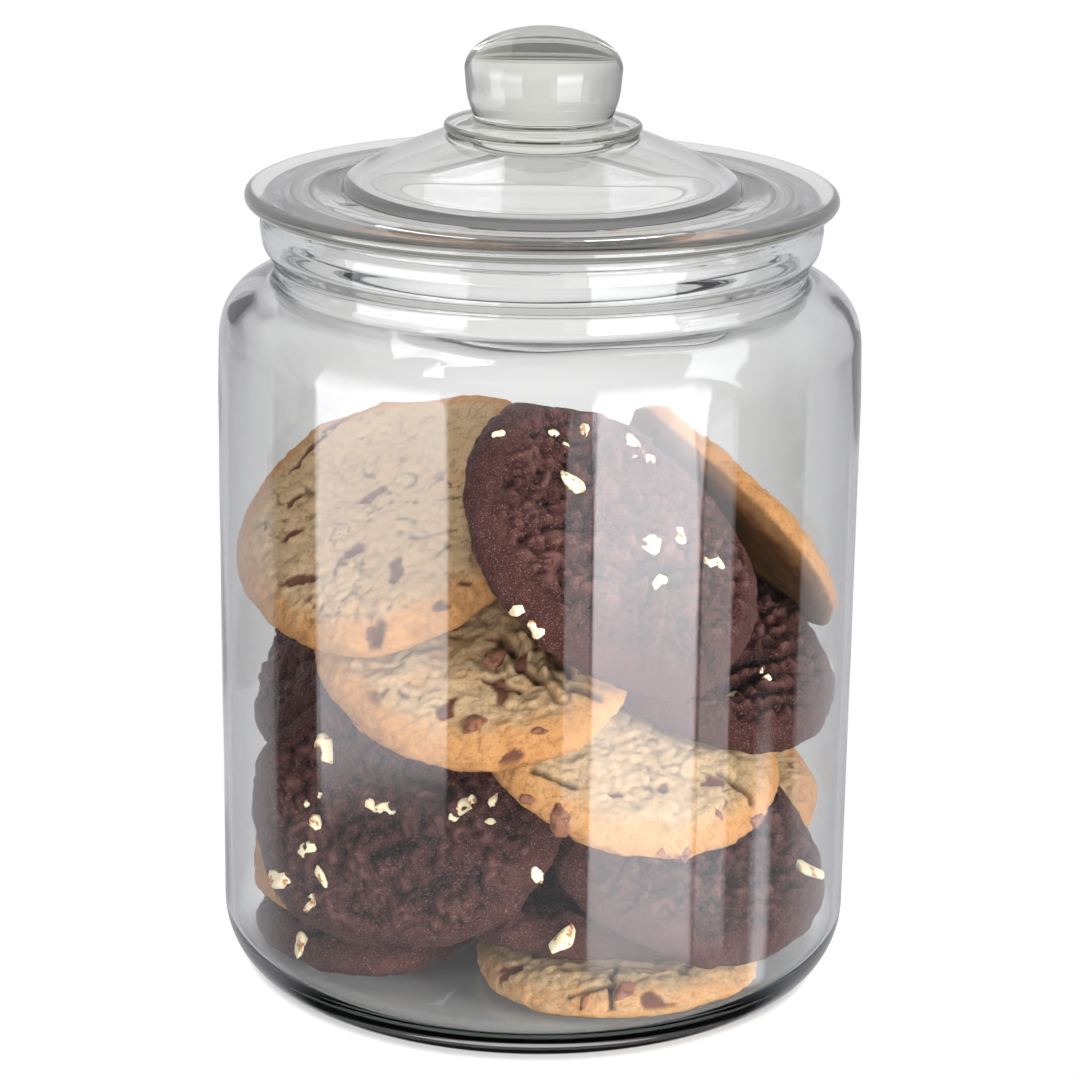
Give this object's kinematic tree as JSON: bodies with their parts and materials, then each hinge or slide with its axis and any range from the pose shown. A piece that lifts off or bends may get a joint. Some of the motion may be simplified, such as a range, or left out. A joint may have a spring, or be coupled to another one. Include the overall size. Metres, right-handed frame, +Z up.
{
  "type": "glass storage jar of cookies",
  "caption": "Round glass storage jar with a beaded mouth and a loose knobbed glass lid, filled with large chocolate chip and dark chocolate cookies.",
  "frame": {"origin": "middle of the foot, on the surface that the jar stands on", "axes": "+Z up along the jar's axis of turning, -Y the front"},
  "size_m": [0.185, 0.185, 0.2765],
  "materials": {
    "jar_glass": "clear, very faintly grey soda-lime glass",
    "lid_glass": "clear pressed glass with a faint olive cast in its thick rim",
    "golden_cookie": "matte baked dough, stands for a golden cookie",
    "dark_cookie": "matte porous chocolate dough, stands for a dark cookie",
    "milk_chip": "satin milk chocolate",
    "white_chunk": "matte white chocolate and nut"
  },
  "bodies": {
    "root": {"jar_body": "jar_glass", "lid": "lid_glass", "cookie_01": "golden_cookie", "cookie_02": "dark_cookie", "cookie_03": "golden_cookie", "cookie_04": "dark_cookie", "cookie_05": "golden_cookie", "cookie_06": "golden_cookie", "cookie_07": "dark_cookie", "cookie_08": "dark_cookie", "cookie_09": "golden_cookie", "cookie_10": "dark_cookie", "cookie_11": "dark_cookie", "cookie_12": "dark_cookie", "cookie_13": "golden_cookie", "cookie_14": "golden_cookie", "cookie_15": "dark_cookie", "cookie_16": "golden_cookie", "cookie_17": "dark_cookie", "cookie_18": "dark_cookie", "cookie_19": "golden_cookie", "cookie_20": "dark_cookie", "cookie_21": "golden_cookie", "cookie_22": "dark_cookie"}
  },
  "joints": []
}
